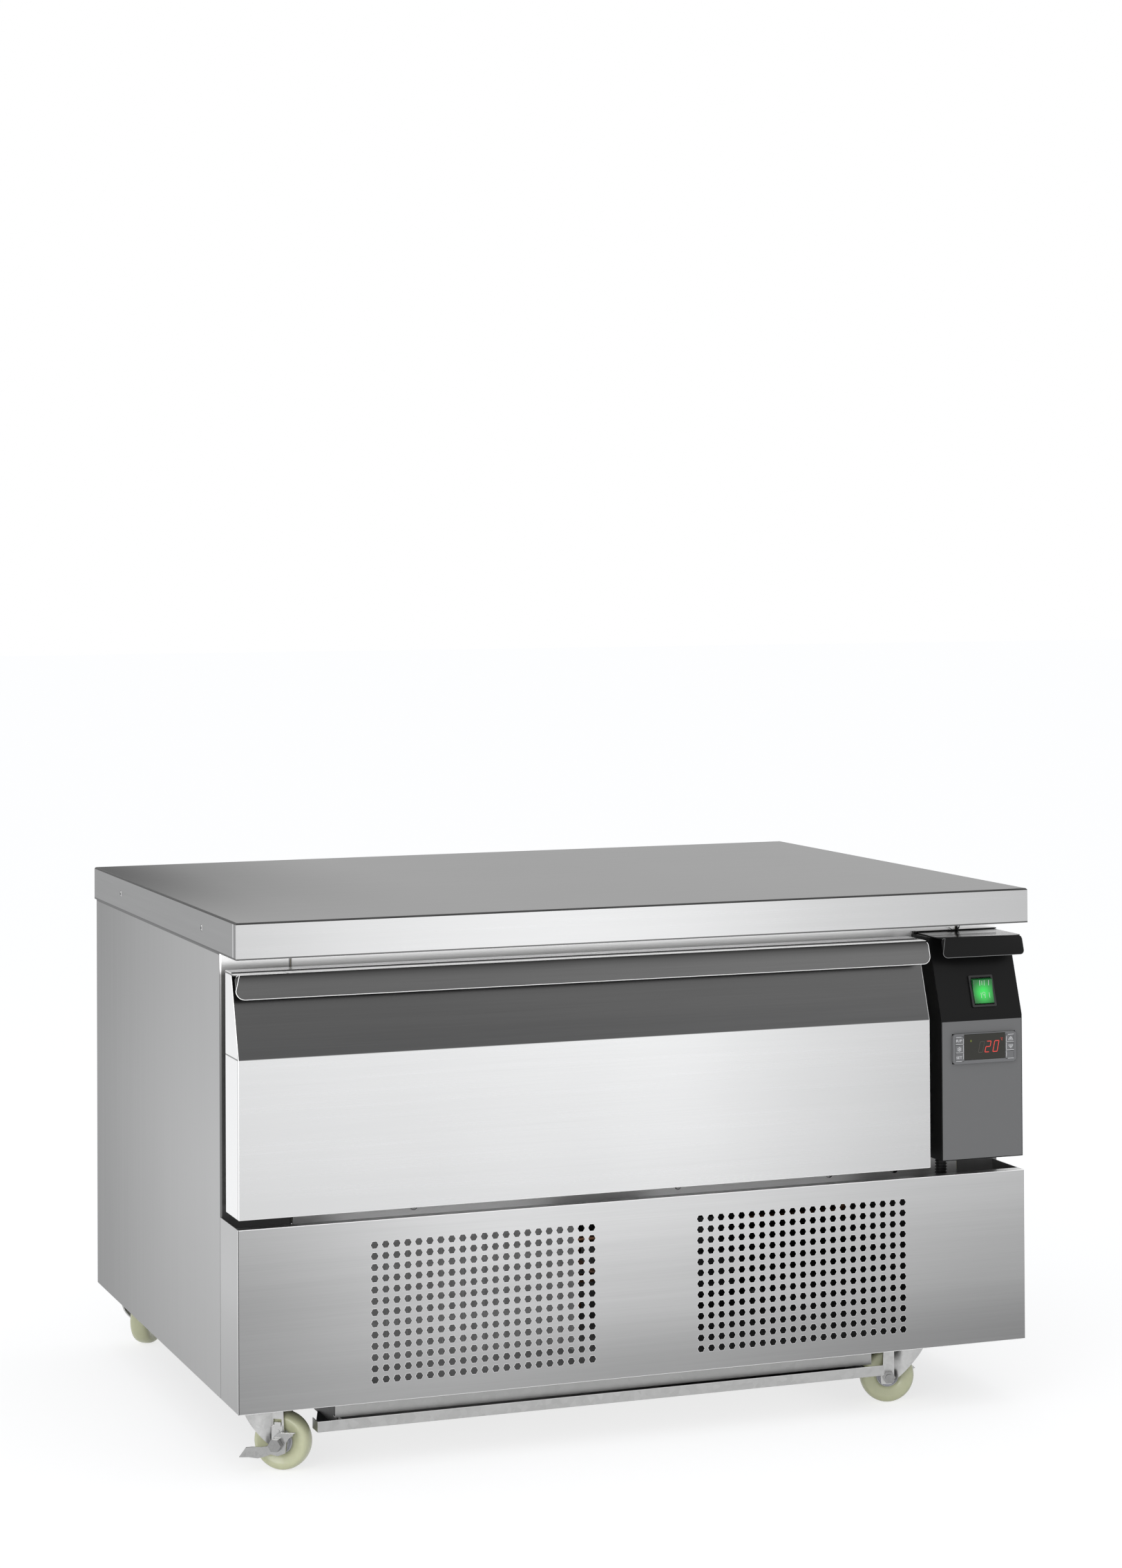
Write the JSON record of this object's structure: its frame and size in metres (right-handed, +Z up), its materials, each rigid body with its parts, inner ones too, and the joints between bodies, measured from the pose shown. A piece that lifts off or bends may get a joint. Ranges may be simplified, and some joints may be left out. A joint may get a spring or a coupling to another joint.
{
  "type": "refrigerated drawer unit",
  "caption": "Low refrigerated counter on swivel casters with a wide insulated drawer, a side control column, a perforated machine panel and a condensate tray.",
  "frame": {"origin": "on the floor, under the middle of the unit's bounding box", "axes": "+X to the right seen from the front, +Y to the back, +Z up"},
  "size_m": [0.9, 0.6864, 0.566],
  "materials": {
    "worktop_steel": "brushed stainless steel",
    "panel_steel": "brushed stainless steel",
    "front_steel": "brushed stainless steel",
    "liner_steel": "satin stainless steel",
    "galvanised": "galvanised sheet",
    "zinc": "zinc plated pressing",
    "screw_steel": "bright screw head",
    "board": "particle board",
    "foam": "rigid insulating foam",
    "black_paint": "satin black paint",
    "grey_film": "satin grey film",
    "grey_plastic": "satin grey plastic",
    "window_plastic": "smoked glossy window",
    "black_plastic": "black plastic",
    "green_rocker": "lit green translucent plastic",
    "gasket_rubber": "soft gasket",
    "white_plastic": "white plastic",
    "compressor_paint": "black paint",
    "fin_aluminium": "mill finish fins",
    "copper_pipe": "copper tube",
    "nylon_wheel": "cream nylon"
  },
  "bodies": {
    "cabinet": {"worktop": "worktop_steel", "worktop_core": "board", "screws": "screw_steel", "left_side_panel": "panel_steel", "right_side_panel": "panel_steel", "front_frame": "panel_steel", "rear_panel": "galvanised", "rear_grille": "galvanised", "cable_gland": "black_plastic", "foam_insulation": "foam", "inner_liner": "liner_steel", "partition_plate": "galvanised", "base_plate": "galvanised", "drain_pipe": "white_plastic", "lower_front_panel": "front_steel", "lower_panel_frame": "panel_steel", "tray_runners": "galvanised", "slide_cabinet_members": "zinc", "control_box": "black_paint", "control_overlay": "grey_film", "controller": "grey_plastic", "display_window": "window_plastic", "switch_frame": "black_plastic", "wiring_sleeve": "black_plastic", "compressor": "compressor_paint", "condenser_coil": "fin_aluminium", "condenser_fan_mount": "galvanised", "refrigerant_pipes": "copper_pipe", "evaporator_coil": "fin_aluminium", "evaporator_baffle": "liner_steel", "caster_plates": "zinc"},
    "drawer": {"slide_drawer_members": "zinc", "drawer_front_skin": "front_steel", "drawer_handle": "front_steel", "drawer_front_foam": "foam", "drawer_inner_frame": "white_plastic", "drawer_gasket": "gasket_rubber", "drawer_box": "liner_steel", "pan_support_bar": "liner_steel"},
    "slide_middle": {"slide_intermediates": "zinc"},
    "tray": {"condensate_tray": "galvanised"},
    "condenser_fan": {"condenser_fan_blade": "black_plastic"},
    "evaporator_fan": {"evaporator_fan_blade": "black_plastic"},
    "rocker": {"switch_rocker": "green_rocker"},
    "key_left_top": {"key_left_top": "grey_plastic"},
    "key_left_middle": {"key_left_middle": "grey_plastic"},
    "key_left_bottom": {"key_left_bottom": "grey_plastic"},
    "key_right_top": {"key_right_top": "grey_plastic"},
    "key_right_middle": {"key_right_middle": "grey_plastic"},
    "key_right_bottom": {"key_right_bottom": "grey_plastic"},
    "swivel_fl": {"caster_fork_fl": "zinc"},
    "wheel_fl": {"caster_wheel_fl": "nylon_wheel"},
    "brake_fl": {"brake_lever_fl": "zinc"},
    "swivel_fr": {"caster_fork_fr": "zinc"},
    "wheel_fr": {"caster_wheel_fr": "nylon_wheel"},
    "brake_fr": {"brake_lever_fr": "zinc"},
    "swivel_rl": {"caster_fork_rl": "zinc"},
    "wheel_rl": {"caster_wheel_rl": "nylon_wheel"},
    "swivel_rr": {"caster_fork_rr": "zinc"},
    "wheel_rr": {"caster_wheel_rr": "nylon_wheel"}
  },
  "joints": [
    {"name": "drawer_slide", "type": "slide", "parent": "cabinet", "child": "drawer", "axis": [0, -1, 0], "range_m": [0, 0.48]},
    {"name": "slide_middle_slide", "type": "slide", "parent": "cabinet", "child": "slide_middle", "axis": [0, -1, 0], "range_m": [0, 0.24]},
    {"name": "tray_slide", "type": "slide", "parent": "cabinet", "child": "tray", "axis": [0, -1, 0], "range_m": [0, 0.42]},
    {"name": "condenser_fan_spin", "type": "hinge", "parent": "cabinet", "child": "condenser_fan", "pos_m": [-0.186, -0.1983, 0.16025], "axis": [0, 1, 0], "continuous": true},
    {"name": "evaporator_fan_spin", "type": "hinge", "parent": "cabinet", "child": "evaporator_fan", "pos_m": [0.3112, 0.081, 0.3835], "axis": [1, 0, 0], "continuous": true},
    {"name": "key_left_top_press", "type": "slide", "parent": "cabinet", "child": "key_left_top", "axis": [0, 1, 0], "range_m": [0, 0.0004], "stiffness_N_per_m": 400},
    {"name": "key_left_middle_press", "type": "slide", "parent": "cabinet", "child": "key_left_middle", "axis": [0, 1, 0], "range_m": [0, 0.0004], "stiffness_N_per_m": 400},
    {"name": "key_left_bottom_press", "type": "slide", "parent": "cabinet", "child": "key_left_bottom", "axis": [0, 1, 0], "range_m": [0, 0.0004], "stiffness_N_per_m": 400},
    {"name": "key_right_top_press", "type": "slide", "parent": "cabinet", "child": "key_right_top", "axis": [0, 1, 0], "range_m": [0, 0.0004], "stiffness_N_per_m": 400},
    {"name": "key_right_middle_press", "type": "slide", "parent": "cabinet", "child": "key_right_middle", "axis": [0, 1, 0], "range_m": [0, 0.0004], "stiffness_N_per_m": 400},
    {"name": "key_right_bottom_press", "type": "slide", "parent": "cabinet", "child": "key_right_bottom", "axis": [0, 1, 0], "range_m": [0, 0.0004], "stiffness_N_per_m": 400},
    {"name": "rocker_tilt", "type": "hinge", "parent": "cabinet", "child": "rocker", "pos_m": [0.3975, -0.32784, 0.45254], "axis": [1, 0, 0], "range_deg": [-14, 0]},
    {"name": "swivel_fl_turn", "type": "hinge", "parent": "cabinet", "child": "swivel_fl", "pos_m": [-0.4093, -0.287, 0.075], "axis": [0, 0, 1], "continuous": true},
    {"name": "wheel_fl_roll", "type": "hinge", "parent": "swivel_fl", "child": "wheel_fl", "pos_m": [-0.3915, -0.29993, 0.03], "axis": [0.5878, 0.809, 0], "continuous": true},
    {"name": "brake_fl_press", "type": "hinge", "parent": "swivel_fl", "child": "brake_fl", "pos_m": [-0.3915, -0.29993, 0.03], "axis": [-0.5878, -0.809, 0], "range_deg": [-15, 0]},
    {"name": "swivel_fr_turn", "type": "hinge", "parent": "cabinet", "child": "swivel_fr", "pos_m": [0.323, -0.287, 0.075], "axis": [0, 0, 1], "continuous": true},
    {"name": "wheel_fr_roll", "type": "hinge", "parent": "swivel_fr", "child": "wheel_fr", "pos_m": [0.30185, -0.28094, 0.03], "axis": [-0.2756, -0.9613, 0], "continuous": true},
    {"name": "brake_fr_press", "type": "hinge", "parent": "swivel_fr", "child": "brake_fr", "pos_m": [0.30185, -0.28094, 0.03], "axis": [0.2756, 0.9613, 0], "range_deg": [0, 15]},
    {"name": "swivel_rl_turn", "type": "hinge", "parent": "cabinet", "child": "swivel_rl", "pos_m": [-0.4093, 0.283, 0.075], "axis": [0, 0, 1], "continuous": true},
    {"name": "wheel_rl_roll", "type": "hinge", "parent": "swivel_rl", "child": "wheel_rl", "pos_m": [-0.39564, 0.30024, 0.03], "axis": [-0.7837, 0.6211, 0], "continuous": true},
    {"name": "swivel_rr_turn", "type": "hinge", "parent": "cabinet", "child": "swivel_rr", "pos_m": [0.323, 0.283, 0.075], "axis": [0, 0, 1], "continuous": true},
    {"name": "wheel_rr_roll", "type": "hinge", "parent": "swivel_rr", "child": "wheel_rr", "pos_m": [0.33052, 0.30367, 0.03], "axis": [-0.9397, 0.342, 0], "continuous": true}
  ],
  "couplings": [
    {"joint": "slide_middle_slide", "follows": "drawer_slide", "ratio": 0.5}
  ]
}
